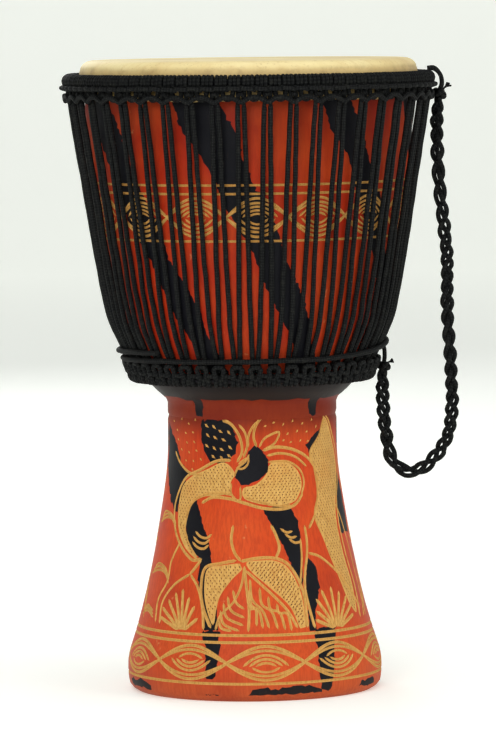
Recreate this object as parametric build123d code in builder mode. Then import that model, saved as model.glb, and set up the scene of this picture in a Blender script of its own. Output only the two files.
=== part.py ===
"""Rope-tuned djembe: a carved goblet drum with a goat-skin head, in millimetres.

The drum stands on z = 0 with its axis on Z. The carved front faces -Y and the
rope handle hangs on the +X side.
"""
import os
from math import cos, pi, radians, sqrt, tan

from build123d import *

# ---------------------------------------------------------------- driving dimensions
HEIGHT = 600.0            # floor to the top of the head
SKIN = 1.4                # thickness of the goat skin
GAP = 0.1                 # clearance between pieces that rest on each other
RIM_RADIUS = 155.5        # outside of the shell under the skin
EDGE_ROUND = 8.0          # rounding of the bearing edge
EDGE_FLAT = 2.0           # width of the flat on top of it
BOWL_WALL = 14.0
NECK_RADIUS = 80.6
NECK_TOP = 277.5
NECK_BOTTOM = 236.0
BOWL_SIDE = (             # radius and height down the outside of the bowl
    (154.2, 512),
    (143.0, 414),
    (129.6, 351),
    (116.0, 321),
    (103.6, 301),
    (95.0, 290),
)
FOOT_RADIUS = 121.3       # widest part of the foot
FOOT_WIDEST = 22.0        # and its height
FOOT_SIDE = (             # radius and height down the outside of the foot
    (85.9, 183),
    (98.3, 114.5),
    (116.6, 45.8),
)
FOOT_TUCK = (119.6, 6)    # where the foot turns in under its widest part
BASE_RADIUS = 113.0       # flat ring the drum stands on
BASE_INNER = 102.0
FOOT_BORE = (81.3, 104)
THROAT_RADIUS = 63.0
THROAT_BOTTOM = 220.0
THROAT_TOP = 271.5
BOWL_BORE = (             # radius and height up the inside of the bowl
    (78.0, 297),
    (102.0, 330),
    (129.0, 418),
)
CARVED_RINGS = (485.0, 477.0, 433.0, 61.0, 53.0, 16.0)
NECK_GROOVE = 262.0
GROOVE_RADIUS = 1.1

LOOPS = 44                # loops round each ring
FIRST_PAIR = -2.4         # degrees from the front to the first pair of vertical strands
ROPE = 4.8                # diameter of the tuning rope

HOOP_WIRE = 3.0           # radius of the rod in the flesh hoop
HOOP_HEIGHT = 567.5
FLAP_TOP = 574.0          # upper edge of the skin folded over the flesh hoop
RING_WIRE = 3.0           # radius of the rod in the crown and lower rings
CROWN_RADIUS = 170.4
CROWN_HEIGHT = 580.5
CROWN_WRAP = 7.3          # radius of the ring with its rope hitches
LOWER_RADIUS = 112.0
LOWER_HEIGHT = 301.0
LOWER_WRAP = 6.0
CRADLE_RADIUS = 174.8
CRADLE_HEIGHT = 564.0
HITCH_GAP = 0.35          # degrees between neighbouring hitches

HANDLE = 10.0             # width of the chain-braided handle
CORNER_SHARE = 0.45       # share of a run that the arc at its end may use
LOOP_ROUND = 0.98         # roundness of a loop's end, 1 being a full half circle

PITCH = 360 / LOOPS
FRONT = -90.0             # the front faces -Y
PAIR_ANGLE = FRONT + FIRST_PAIR
LOOP_ANGLE = PAIR_ANGLE + PITCH / 2
ROPE_RADIUS = ROPE / 2

os.makedirs("parts", exist_ok=True)


# ---------------------------------------------------------------- helpers
def widest_radii(points):
    """The largest arc radius that each corner's two runs allow."""
    corners = [Vector(*point) for point in points]
    radii = []
    for before, corner, after in zip(corners, corners[1:], corners[2:]):
        arriving = corner - before
        leaving = after - corner
        turn = radians(arriving.get_angle(leaving))
        shorter_run = min(arriving.length, leaving.length)
        radii.append(CORNER_SHARE * shorter_run / tan(turn / 2))
    return radii


def rope_tube(points, radius, radii=None):
    """A round rope along straight runs joined by tangent arcs."""
    with BuildPart() as tube:
        with BuildLine() as route:
            FilletPolyline(*points, radius=radii or widest_radii(points))
        with BuildSketch(Plane(origin=route.line @ 0, z_dir=route.line % 0)):
            Circle(radius)
        sweep(path=route.wires()[0])
    return tube.part


def side_radius(side, height):
    """Radius of a falling outline curve at one height."""
    above, below = 0.0, 1.0
    for _ in range(40):
        middle = (above + below) / 2
        if (side @ middle).Y > height:
            above = middle
        else:
            below = middle
    return (side @ above).X


def finish(piece, label):
    """Name a finished piece and write its STEP file."""
    piece.part.label = label
    export_step(piece.part, f"parts/{label}.step")


# ---------------------------------------------------------------- shell
edge_top = HEIGHT - SKIN - GAP
edge_radius = RIM_RADIUS - EDGE_ROUND
inner_rim = RIM_RADIUS - BOWL_WALL
bevel_bottom = edge_top - 2 * EDGE_ROUND

with BuildPart() as shell:
    with BuildSketch(Plane.XZ) as shell_profile:
        with BuildLine():
            Line((edge_radius - EDGE_FLAT, edge_top), (edge_radius, edge_top))
            RadiusArc((edge_radius, edge_top), (RIM_RADIUS, edge_top - EDGE_ROUND), EDGE_ROUND)
            bowl_side = Spline(
                (RIM_RADIUS, edge_top - EDGE_ROUND),
                *BOWL_SIDE,
                (NECK_RADIUS, NECK_TOP),
                tangents=[(0, -1), (-0.84, -0.54)],
            )
            Line((NECK_RADIUS, NECK_TOP), (NECK_RADIUS, NECK_BOTTOM))
            foot_side = Spline(
                (NECK_RADIUS, NECK_BOTTOM),
                *FOOT_SIDE,
                (FOOT_RADIUS, FOOT_WIDEST),
                tangents=[(0, -1), (0, -1)],
            )
            Spline(
                (FOOT_RADIUS, FOOT_WIDEST),
                FOOT_TUCK,
                (BASE_RADIUS, 0),
                tangents=[(0, -1), (-1, 0)],
            )
            Line((BASE_RADIUS, 0), (BASE_INNER, 0))
            Spline(
                (BASE_INNER, 0),
                FOOT_BORE,
                (THROAT_RADIUS, THROAT_BOTTOM),
                tangents=[(0.05, 1), (0, 1)],
            )
            Line((THROAT_RADIUS, THROAT_BOTTOM), (THROAT_RADIUS, THROAT_TOP))
            Spline(
                (THROAT_RADIUS, THROAT_TOP),
                *BOWL_BORE,
                (inner_rim, bevel_bottom),
                tangents=[(0.2, 1), (0, 1)],
            )
            Line((inner_rim, bevel_bottom), (edge_radius - EDGE_FLAT, edge_top))
        make_face()
    revolve(axis=Axis.Z)
    for height in CARVED_RINGS:
        side = bowl_side if height > NECK_TOP else foot_side
        if height < FOOT_WIDEST:
            ring_radius = FOOT_RADIUS
        else:
            ring_radius = side_radius(side, height)
        with Locations((0, 0, height)):
            Torus(ring_radius, GROOVE_RADIUS, mode=Mode.SUBTRACT)
    with Locations((0, 0, NECK_GROOVE)):
        Torus(NECK_RADIUS, GROOVE_RADIUS, mode=Mode.SUBTRACT)
finish(shell, "shell")

# ---------------------------------------------------------------- head: skin and flesh hoop
skin_radius = RIM_RADIUS + GAP + SKIN
hoop_radius = skin_radius + GAP + HOOP_WIRE
fold_inner = HOOP_WIRE + GAP
fold_outer = fold_inner + SKIN
flat_radius = edge_radius
shoulder = HEIGHT - SKIN - (RIM_RADIUS + GAP - flat_radius)

with BuildPart() as goat_skin:
    with BuildSketch(Plane.XZ):
        with BuildLine():
            Line((0, HEIGHT), (flat_radius, HEIGHT))
            RadiusArc((flat_radius, HEIGHT), (skin_radius, shoulder), skin_radius - flat_radius)
            Line((skin_radius, shoulder), (skin_radius, HOOP_HEIGHT))
            ThreePointArc(
                (skin_radius, HOOP_HEIGHT),
                (hoop_radius, HOOP_HEIGHT - fold_inner),
                (hoop_radius + fold_inner, HOOP_HEIGHT),
            )
            Polyline(
                (hoop_radius + fold_inner, HOOP_HEIGHT),
                (hoop_radius + fold_inner, FLAP_TOP),
                (hoop_radius + fold_outer, FLAP_TOP),
                (hoop_radius + fold_outer, HOOP_HEIGHT),
            )
            ThreePointArc(
                (hoop_radius + fold_outer, HOOP_HEIGHT),
                (hoop_radius, HOOP_HEIGHT - fold_outer),
                (hoop_radius - fold_outer, HOOP_HEIGHT),
            )
            Line((hoop_radius - fold_outer, HOOP_HEIGHT), (RIM_RADIUS + GAP, shoulder))
            RadiusArc(
                (RIM_RADIUS + GAP, shoulder),
                (flat_radius, HEIGHT - SKIN),
                -(RIM_RADIUS + GAP - flat_radius),
            )
            Polyline((flat_radius, HEIGHT - SKIN), (0, HEIGHT - SKIN), (0, HEIGHT))
        make_face()
    revolve(axis=Axis.Z)
finish(goat_skin, "goat_skin")

with BuildPart() as flesh_hoop:
    with Locations((0, 0, HOOP_HEIGHT)):
        Torus(hoop_radius, HOOP_WIRE)
finish(flesh_hoop, "flesh_hoop")

# ---------------------------------------------------------------- rings
with BuildPart() as crown_ring:
    with Locations((0, 0, CROWN_HEIGHT)):
        Torus(CROWN_RADIUS, RING_WIRE)
finish(crown_ring, "crown_ring")

with BuildPart() as lower_ring:
    with Locations((0, 0, LOWER_HEIGHT)):
        Torus(LOWER_RADIUS, RING_WIRE)
finish(lower_ring, "lower_ring")


# ---------------------------------------------------------------- hitches on the rings
def ring_hitch(radius, height, wrap, arc):
    """One block of rope hitches: a short sleeve round the ring's rod."""
    with BuildPart() as hitch:
        with BuildSketch(Plane.XZ):
            with Locations((radius, height)):
                Circle(wrap)
                Circle(RING_WIRE + GAP, mode=Mode.SUBTRACT)
        revolve(axis=Axis.Z, revolution_arc=arc)
    return hitch.part


crown_hitch = ring_hitch(CROWN_RADIUS, CROWN_HEIGHT, CROWN_WRAP, PITCH / 2 - HITCH_GAP)
with BuildPart() as crown_hitches:
    with PolarLocations(0, 2 * LOOPS, start_angle=LOOP_ANGLE):
        add(crown_hitch)
finish(crown_hitches, "crown_hitches")

lower_hitch = ring_hitch(LOWER_RADIUS, LOWER_HEIGHT, LOWER_WRAP, PITCH - 2 * HITCH_GAP)
with BuildPart() as lower_hitches:
    with PolarLocations(0, LOOPS, start_angle=PAIR_ANGLE):
        add(lower_hitch)
finish(lower_hitches, "lower_hitches")

# ---------------------------------------------------------------- loops hanging from the rings
CROWN_LOOP = (             # radius, distance to one side, height
    (169.9, 5.2, 572.4),
    (169.9, 4.0, 567.0),
    (169.9, 3.4, 558.5),
)
LOWER_LOOP = (
    (118.4, 4.2, 306.2),
    (119.3, 3.7, 309.0),
    (120.3, 3.0, 311.6),
)


def rope_loop(side):
    """A U of rope: one side's points, then the same points mirrored."""
    other_side = [(radius, -across, height) for radius, across, height in reversed(side)]
    points = list(side) + other_side
    radii = widest_radii(points)
    bottom = len(side) - 1
    radii[bottom - 1] = radii[bottom] = LOOP_ROUND * side[-1][1]
    return rope_tube(points, ROPE_RADIUS, radii)


crown_loop = rope_loop(CROWN_LOOP)
with BuildPart() as crown_loops:
    with PolarLocations(0, LOOPS, start_angle=LOOP_ANGLE):
        add(crown_loop)
finish(crown_loops, "crown_loops")

lower_loop = rope_loop(LOWER_LOOP)
with BuildPart() as lower_loops:
    with PolarLocations(0, LOOPS, start_angle=LOOP_ANGLE):
        add(lower_loop)
finish(lower_loops, "lower_loops")

# ---------------------------------------------------------------- cradle rope
with BuildPart() as cradle_rope:
    with Locations((0, 0, CRADLE_HEIGHT)):
        Torus(CRADLE_RADIUS, ROPE_RADIUS)
finish(cradle_rope, "cradle_rope")

# ---------------------------------------------------------------- vertical tuning rope
STRAND = (                 # radius, distance to one side, height
    (112.6, 5.9, 309.0),
    (119.2, 5.8, 321.0),
    (133.0, 5.3, 350.5),
    (139.8, 5.0, 377.0),
    (146.2, 4.6, 412.0),
    (169.6, 2.8, 556.0),
    (169.9, 2.8, 569.8),
)
vertical_pair = rope_loop(STRAND)
with BuildPart() as vertical_rope:
    with PolarLocations(0, LOOPS, start_angle=PAIR_ANGLE):
        add(vertical_pair)
finish(vertical_rope, "vertical_rope")

# ---------------------------------------------------------------- pull rope wound round the cage
PULL_CLEARANCE = 0.3
PULL_STEP = 21.0           # degrees between the points of its route
PULL_START = -104.0        # degrees from the front
PULL_HEIGHTS = (           # height at each point, going round the drum
    317.2, 317.4, 317.8, 318.8, 319.6, 320.0, 320.4, 321.4, 324.4, 329.6, 331.4,
    331.2, 330.8, 330.0, 328.4, 326.4, 324.6, 324.0, 324.6, 325.6, 326.6,
)


def cage_radius(height):
    """How far from the axis a rope lies on the slanting lower strands at one height."""
    (low_radius, _, low), (high_radius, _, high) = STRAND[0:2]
    if height > high:
        (low_radius, _, low), (high_radius, _, high) = STRAND[1:3]
    slope = (high_radius - low_radius) / (high - low)
    strand_centre = low_radius + slope * (height - low)
    return strand_centre + (ROPE + PULL_CLEARANCE) * sqrt(1 + slope * slope)


pull_points = [
    Vector(cage_radius(height) / cos(radians(PULL_STEP / 2)), 0, height).rotate(
        Axis.Z, FRONT + PULL_START + turn * PULL_STEP
    )
    for turn, height in enumerate(PULL_HEIGHTS)
]
with BuildPart() as pull_rope:
    add(rope_tube(pull_points, ROPE_RADIUS))
finish(pull_rope, "pull_rope")

# ---------------------------------------------------------------- handle
HANDLE_ROUTE = (           # x, y, z from the crown knot to the lower knot
    (180.6, 0.0, 560.6),
    (178.2, 0.5, 540.0),
    (178.8, 1.5, 508.0),
    (182.0, 2.0, 462.0),
    (187.8, 1.0, 414.0),
    (186.6, -1.0, 366.0),
    (188.8, -2.5, 322.0),
    (190.6, -3.0, 288.0),
    (190.9, -2.0, 262.0),
    (187.5, -0.5, 238.0),
    (176.0, 1.0, 219.5),
    (162.5, 2.5, 206.5),
    (149.5, 3.0, 203.5),
    (138.0, 3.0, 209.0),
    (130.8, 2.5, 220.0),
    (128.2, 1.5, 236.0),
    (125.8, 0.5, 258.0),
    (124.4, -0.5, 281.0),
    (125.2, 0.0, 302.6),
)
with BuildPart() as handle_cord:
    add(rope_tube(HANDLE_ROUTE, HANDLE / 2))
finish(handle_cord, "handle_cord")


def knot(centre, radius, *ends):
    """A round knot with straight rope ends, each given by its direction and length."""
    with BuildPart() as tied:
        with Locations(centre):
            Sphere(radius)
        for direction, length in ends:
            with BuildSketch(Plane(origin=centre, z_dir=direction)):
                Circle(ROPE_RADIUS)
            extrude(amount=length)
    return tied.part


with BuildPart() as handle_knot_top:
    add(knot((181.6, 0.0, 567.0), 5.8, ((0.6, 0, 0.8), 13.0)))
finish(handle_knot_top, "handle_knot_top")

with BuildPart() as handle_knot_bottom:
    add(knot((126.6, 0.0, 308.0), 4.9, ((0.08, 0, 1), 20.6), ((1, 0, 0.3), 8.5)))
finish(handle_knot_bottom, "handle_knot_bottom")

# ---------------------------------------------------------------- length and tightest bend
handle_section = pi * (HANDLE / 2) ** 2
print("handle length", round(handle_cord.part.volume / handle_section, 1))
print("handle tightest bend", round(min(widest_radii(HANDLE_ROUTE)), 1))
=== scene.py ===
"""Looks for the rope-tuned djembe: carved and painted shell, goat skin, black rope work."""
import bisect
import math
import random

import bmesh
import bpy
from mathutils import Matrix, Vector, geometry, noise
from mathutils.bvhtree import BVHTree
from mathutils.kdtree import KDTree


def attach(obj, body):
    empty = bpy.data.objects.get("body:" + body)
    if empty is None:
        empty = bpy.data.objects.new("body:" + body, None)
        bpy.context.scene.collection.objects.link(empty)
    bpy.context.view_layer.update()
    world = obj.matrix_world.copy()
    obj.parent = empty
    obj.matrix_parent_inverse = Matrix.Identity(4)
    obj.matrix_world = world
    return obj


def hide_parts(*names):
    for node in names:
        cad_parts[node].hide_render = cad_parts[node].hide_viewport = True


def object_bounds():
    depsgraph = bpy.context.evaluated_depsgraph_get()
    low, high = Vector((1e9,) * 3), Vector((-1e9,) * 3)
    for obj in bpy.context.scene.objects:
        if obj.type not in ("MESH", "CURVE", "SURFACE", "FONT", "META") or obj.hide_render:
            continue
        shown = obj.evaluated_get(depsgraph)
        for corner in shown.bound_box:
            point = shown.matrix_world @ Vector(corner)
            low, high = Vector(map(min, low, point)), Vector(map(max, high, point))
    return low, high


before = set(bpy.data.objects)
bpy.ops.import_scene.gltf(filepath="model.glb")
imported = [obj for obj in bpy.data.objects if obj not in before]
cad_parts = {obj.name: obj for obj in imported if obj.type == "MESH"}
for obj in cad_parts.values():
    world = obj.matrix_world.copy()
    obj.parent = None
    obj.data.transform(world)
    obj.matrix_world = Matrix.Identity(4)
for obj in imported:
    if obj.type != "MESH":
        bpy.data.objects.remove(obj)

MM = 0.001
cad_low, cad_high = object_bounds()
scene = bpy.context.scene

HEIGHT = cad_high[2]                       # floor to the top of the head
LOOPS = 44
PITCH = 2 * math.pi / LOOPS
FRONT = -math.pi / 2                       # the carved front faces -Y
PAIR_START = FRONT + math.radians(-2.4)    # first pair of vertical strands
LOOP_START = PAIR_START + PITCH / 2
ROPE = 4.8 * MM                            # thickness of the tuning rope
BRAID_PITCH = 5.2 * MM                     # length of one turn of a yarn in the rope's braid
BRAID_YARNS = 4                            # yarns that run each way round it


def at_angle(radius, angle, height):
    return Vector((radius * math.cos(angle), radius * math.sin(angle), height))


def new_object(name, data):
    made = bpy.data.objects.new(name, data)
    scene.collection.objects.link(made)
    return made


def new_mesh(name, vertices, edges, faces, *finishes):
    """A mesh with its slots filled and its faces shaded smooth."""
    mesh = bpy.data.meshes.new(name)
    mesh.from_pydata(vertices, edges, faces)
    for finish in finishes:
        mesh.materials.append(finish)
    mesh.shade_smooth()
    return mesh


def cad_node(name):
    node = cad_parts[name]
    return bpy.data.objects[node] if isinstance(node, str) else node


# ---------------------------------------------------------------- camera, floor and light
def place_camera():
    """A long lens five metres off, just above the rim, looking down a little."""
    distance, height = 5.0, 0.66
    target = Vector((-0.0035, 0.0, 0.3005))
    eye = Vector((target.x, -distance, height))
    seen_height = 0.7117                   # metres of the drum's axis plane in the frame
    data = bpy.data.cameras.new("camera")
    data.sensor_width = 36.0
    data.lens = data.sensor_width * (target - eye).length / seen_height
    camera = new_object("camera", data)
    look = (target - eye).to_track_quat("-Z", "Y").to_matrix().to_4x4()
    roll = Matrix.Rotation(math.radians(-0.65), 4, "Z")
    camera.matrix_world = Matrix.Translation(eye) @ look @ roll
    scene.camera = camera


def place_floor():
    """A pale floor that curves up into a wall all round, far behind the camera's place."""
    reach, curve, top, columns, curve_steps = 7.5, 1.5, 5.0, 96, 12
    profile = [(0.0, 0.0), (1.0, 0.0), (3.0, 0.0), (reach, 0.0)]
    for step in range(1, curve_steps + 1):
        angle = math.radians(90 * step / curve_steps)
        profile.append((reach + curve * math.sin(angle), curve - curve * math.cos(angle)))
    profile.append((reach + curve, top))
    vertices, faces = [(0.0, 0.0, 0.0)], []
    for radius, height in profile[1:]:
        vertices.extend(at_angle(radius, 2 * math.pi * i / columns, height) for i in range(columns))
    for i in range(columns):
        beside = (i + 1) % columns
        faces.append((0, 1 + i, 1 + beside))
        for row in range(len(profile) - 2):
            low, high = 1 + row * columns, 1 + (row + 1) * columns
            faces.append((low + i, high + i, high + beside, low + beside))
    paper = bpy.data.materials.new("white_paper")
    paper.use_nodes = True
    settings = {"Base Color": (0.86, 0.87, 0.84, 1), "Roughness": 0.9, "Specular IOR Level": 0.1,
                "Emission Color": (0.83, 0.85, 0.79, 1), "Emission Strength": 0.40}
    for name, value in settings.items():
        paper.node_tree.nodes["Principled BSDF"].inputs[name].default_value = value
    sweep = new_object("sweep", new_mesh("sweep", vertices, [], faces, paper))


def place_light(name, place, target, size, power, colour=(1, 1, 1)):
    data = bpy.data.lights.new(name, "AREA")
    data.shape = "RECTANGLE"
    data.size, data.size_y = size
    data.energy = power
    data.color = colour
    light = new_object(name, data)
    turn = (Vector(target) - Vector(place)).to_track_quat("-Z", "Y").to_matrix().to_4x4()
    light.matrix_world = Matrix.Translation(place) @ turn


def place_lights():
    place_light("front_window", (-0.9, -3.6, 1.7), (0, 0, 0.3), (1.6, 1.3), 58)
    place_light("right_fill", (2.6, -2.0, 1.3), (0, 0, 0.3), (1.4, 1.4), 20, (1.0, 0.985, 0.96))
    place_light("overhead", (0.2, -0.2, 2.8), (0, 0, 0.3), (1.8, 1.8), 22)
    place_light("behind", (-1.2, 3.4, 1.8), (0, 0, 0.3), (1.6, 1.3), 34)
    world = bpy.data.worlds.new("studio")
    world.use_nodes = True
    background = world.node_tree.nodes["Background"]
    background.inputs["Color"].default_value = (0.93, 0.95, 1.0, 1)
    background.inputs["Strength"].default_value = 0.30
    scene.world = world


# ---------------------------------------------------------------- finishes
class Finish:
    """A material's node tree with short calls for the nodes used here."""

    def __init__(self, name):
        self.material = bpy.data.materials.new(name)
        self.material.use_nodes = True
        self.tree = self.material.node_tree
        self.shader = self.tree.nodes["Principled BSDF"]

    def add(self, kind, **settings):
        node = self.tree.nodes.new(kind)
        for key, value in settings.items():
            setattr(node, key, value)
        return node

    def object_place(self, stretch=(1, 1, 1)):
        coords = self.add("ShaderNodeTexCoord")
        mapping = self.add("ShaderNodeMapping")
        mapping.inputs["Scale"].default_value = stretch
        self.feed(mapping.inputs["Vector"], coords.outputs["Object"])
        return mapping.outputs["Vector"]

    def mottle(self, place, scale, detail=4.0, roughness=0.55):
        texture = self.add("ShaderNodeTexNoise")
        texture.inputs["Scale"].default_value = scale
        texture.inputs["Detail"].default_value = detail
        texture.inputs["Roughness"].default_value = roughness
        self.feed(texture.inputs["Vector"], place)
        return texture.outputs["Fac"]

    def feed(self, socket, value):
        """A number or a colour goes on the socket itself, and anything else is linked to it."""
        if isinstance(value, (int, float)):
            socket.default_value = value
        elif isinstance(value, tuple):
            socket.default_value = (*value, 1)
        else:
            self.tree.links.new(value, socket)

    def math(self, operation, *values, clamp=False):
        node = self.add("ShaderNodeMath", operation=operation, use_clamp=clamp)
        for socket, value in zip(node.inputs, values):
            self.feed(socket, value)
        return node.outputs["Value"]

    def ramp(self, value, stops):
        """Stops of (place, colour), where a colour may be one number for a grey."""
        node = self.add("ShaderNodeValToRGB")
        elements = node.color_ramp.elements
        while len(elements) < len(stops):
            elements.new(0.5)
        for element, (position, colour) in zip(elements, stops):
            element.position = position
            element.color = (*colour, 1) if isinstance(colour, tuple) else (colour, colour, colour, 1)
        self.feed(node.inputs["Fac"], value)
        return node.outputs["Color"]

    def mix(self, share, first, second):
        node = self.add("ShaderNodeMix", data_type="RGBA")
        factor, colour_a, colour_b = (node.inputs[number] for number in (0, 6, 7))
        self.feed(factor, share)
        self.feed(colour_a, first)
        self.feed(colour_b, second)
        return node.outputs[2]

    def height(self):
        """Height above the floor, from 0 at the base to 1 at the head."""
        coords = self.add("ShaderNodeTexCoord")
        split = self.add("ShaderNodeSeparateXYZ")
        self.feed(split.inputs["Vector"], coords.outputs["Object"])
        return self.math("DIVIDE", split.outputs["Z"], HEIGHT, clamp=True)

    def bump(self, value, depth, strength=0.6):
        node = self.add("ShaderNodeBump")
        node.inputs["Strength"].default_value = strength
        node.inputs["Distance"].default_value = depth
        self.feed(node.inputs["Height"], value)
        self.feed(self.shader.inputs["Normal"], node.outputs["Normal"])

    def finish(self, colour, roughness, **constants):
        self.feed(self.shader.inputs["Base Color"], colour)
        self.feed(self.shader.inputs["Roughness"], roughness)
        for name, value in constants.items():
            self.shader.inputs[name.replace("_", " ")].default_value = value
        return self.material


def red_paint():
    """Red-orange spirit stain, brighter and more worn down the foot; darkened by painted shade under the rim
    and the rope cage, and at the neck under the bowl.
    """
    f = Finish("red_stain")
    place = f.object_place()
    # the height ramp holds painted shade: darker towards the rim under the crown and the rope cage, and at
    # the neck under the bowl
    tone = f.ramp(f.height(), [
        (0.0, (0.38, 0.075, 0.025)), (0.05, (0.52, 0.062, 0.014)), (0.33, (0.54, 0.046, 0.008)),
        (0.41, (0.44, 0.034, 0.007)), (0.44, (0.24, 0.020, 0.006)), (0.48, (0.20, 0.014, 0.005)),
        (0.58, (0.40, 0.019, 0.004)), (0.86, (0.34, 0.014, 0.003)), (0.97, (0.13, 0.006, 0.002)),
    ])
    cloud = f.mottle(place, 13, 5)
    grain = f.mottle(f.object_place((60, 60, 5)), 9, 6, 0.65)
    tone = f.mix(f.ramp(cloud, [(0.40, 0), (0.75, 0.45)]), tone, (0.68, 0.115, 0.020))
    tone = f.mix(f.ramp(cloud, [(0.28, 0.5), (0.45, 0)]), tone, (0.30, 0.022, 0.006))
    tone = f.mix(f.ramp(grain, [(0.40, 0.30), (0.58, 0)]), tone, (0.22, 0.020, 0.008))
    worn = f.mottle(place, 95, 3)
    tone = f.mix(f.ramp(worn, [(0.70, 0), (0.78, 0.5)]), tone, (0.62, 0.30, 0.12))
    # painted shade under the bowl's overhang, darkening the neck
    neck = f.ramp(f.height(), [(0.40, 0), (0.435, 0.6), (0.48, 0.6), (0.50, 0)])
    tone = f.mix(neck, tone, (0.085, 0.007, 0.003))
    f.bump(grain, 0.0003, 0.3)
    rough = f.ramp(cloud, [(0.3, 0.44), (0.7, 0.60)])
    return f.finish(tone, rough, Specular_IOR_Level=0.10)


def black_paint():
    """Brushed black paint, a little blue, greyer where it is thin or dusty."""
    f = Finish("black_paint")
    place = f.object_place()
    cloud = f.mottle(place, 22, 5)
    brush = f.mottle(f.object_place((40, 40, 8)), 7, 5, 0.6)
    tone = f.ramp(cloud, [(0.3, (0.0035, 0.0035, 0.0055)), (0.75, (0.010, 0.010, 0.013))])
    tone = f.mix(f.ramp(brush, [(0.62, 0), (0.74, 0.4)]), tone, (0.035, 0.022, 0.018))
    low = f.ramp(f.height(), [(0.0, 0.55), (0.04, 0), (0.44, 0), (0.475, 0.7), (0.50, 0.1), (0.53, 0)])
    tone = f.mix(low, tone, (0.030, 0.022, 0.018))
    f.bump(brush, 0.0004, 0.35)
    return f.finish(tone, f.ramp(cloud, [(0.3, 0.40), (0.7, 0.60)]), Specular_IOR_Level=0.07)


def cut_wood():
    """Pale straw-coloured wood where the gouge or knife went through the paint."""
    f = Finish("cut_wood")
    grain = f.mottle(f.object_place((70, 70, 9)), 10, 6, 0.6)
    cloud = f.mottle(f.object_place(), 30, 4)
    tone = f.ramp(grain, [(0.28, (0.36, 0.165, 0.040)), (0.46, (0.54, 0.295, 0.075)), (0.72,
                                                                                       (0.66, 0.39, 0.120))])
    tone = f.mix(f.ramp(cloud, [(0.50, 0), (0.75, 0.5)]), tone, (0.58, 0.25, 0.055))
    f.bump(grain, 0.0003, 0.5)
    return f.finish(tone, 0.78, Specular_IOR_Level=0.2)


def stained_prick():
    """Dark stain left in the pricked dots of the pared areas."""
    f = Finish("stained_prick")
    cloud = f.mottle(f.object_place(), 120, 3)
    tone = f.ramp(cloud, [(0.35, (0.09, 0.030, 0.012)), (0.65, (0.26, 0.085, 0.022))])
    return f.finish(tone, 0.7, Specular_IOR_Level=0.2)


def bare_wood():
    """Unpainted inside of the bowl and foot, with the grain of the log and turning marks."""
    f = Finish("bare_wood")
    grain = f.mottle(f.object_place((55, 55, 4)), 8, 7, 0.6)
    rings = f.mottle(f.object_place((3, 3, 160)), 6, 2)
    tone = f.ramp(grain, [(0.28, (0.19, 0.095, 0.045)), (0.5, (0.33, 0.185, 0.09)), (0.75,
                                                                                     (0.45, 0.28, 0.15))])
    tone = f.mix(f.ramp(rings, [(0.45, 0), (0.7, 0.35)]), tone, (0.22, 0.11, 0.05))
    f.bump(rings, 0.0006, 0.5)
    return f.finish(tone, 0.82)


def goat_hide():
    """Shaved goat skin: cream, with tan clouding, faint hair pores and a darker folded side."""
    f = Finish("goat_hide")
    place = f.object_place()
    cloud = f.mottle(place, 7, 6, 0.6)
    fibre = f.mottle(f.object_place((1, 4, 1)), 60, 5, 0.6)
    pores = f.mottle(place, 420, 2)
    tone = f.ramp(cloud, [(0.30, (0.60, 0.42, 0.17)), (0.48, (0.78, 0.64, 0.31)), (0.70,
                                                                                   (0.86, 0.76, 0.43))])
    tone = f.mix(f.ramp(fibre, [(0.5, 0), (0.75, 0.45)]), tone, (0.60, 0.40, 0.17))
    tone = f.mix(f.ramp(pores, [(0.30, 0.35), (0.40, 0)]), tone, (0.45, 0.30, 0.15))
    side = f.ramp(f.height(), [(0.0, 0.9), (0.976, 0.9), (0.984, 0.68), (0.9885, 0.28), (0.994, 0.0)])
    tone = f.mix(side, tone, (0.50, 0.33, 0.11))
    grime = f.mottle(place, 34, 5, 0.7)
    tone = f.mix(f.math("MULTIPLY", side, f.ramp(grime, [(0.48, 0), (0.68, 0.9)])), tone,
                 (0.26, 0.15, 0.05))
    f.bump(fibre, 0.0005, 0.35)
    return f.finish(tone, f.ramp(cloud, [(0.3, 0.50), (0.7, 0.66)]))


def black_rope():
    """Braided black polyester: diamonds of crossed yarns along and around each rope, coloured with painted
    shade in the hollows between the yarns and painted light on their crests.
    """
    f = Finish("black_rope")
    along = f.add("ShaderNodeAttribute", attribute_name="along").outputs["Fac"]
    side = f.add("ShaderNodeAttribute", attribute_name="rope_side")
    split = f.add("ShaderNodeSeparateXYZ")
    f.feed(split.inputs["Vector"], side.outputs["Vector"])
    around = f.math("ARCTAN2", split.outputs["Y"], split.outputs["X"])
    lay = f.math("MULTIPLY", along, 2 * math.pi / BRAID_PITCH)
    turns = f.math("MULTIPLY", around, BRAID_YARNS)
    left = f.math("SINE", f.math("ADD", lay, turns))
    right = f.math("SINE", f.math("SUBTRACT", lay, turns))
    weave = f.math("MULTIPLY_ADD", f.math("MULTIPLY", left, right), 0.5, 0.5)
    fluff = f.mottle(f.object_place(), 260, 4)
    # the braid's colour follows its relief: painted shade in the hollows between yarns, painted light on
    # their crests
    tone = f.ramp(weave, [(0.1, (0.0016, 0.0017, 0.0020)), (0.6, (0.0062, 0.0066, 0.0072)), (1.0,
                                                                                             (0.018, 0.019,
                                                                                              0.018))])
    tone = f.mix(f.ramp(fluff, [(0.5, 0), (0.8, 0.6)]), tone, (0.024, 0.024, 0.020))
    f.bump(weave, 0.0005, 0.7)
    return f.finish(tone, 0.70, Specular_IOR_Level=0.07)


def steel_rod():
    f = Finish("steel_rod")
    cloud = f.mottle(f.object_place(), 60, 5)
    tone = f.ramp(cloud, [(0.3, (0.22, 0.22, 0.23)), (0.6, (0.42, 0.42, 0.43)), (0.8, (0.30, 0.20, 0.13))])
    f.bump(cloud, 0.0002, 0.3)
    return f.finish(tone, 0.42, Metallic=1.0)


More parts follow.
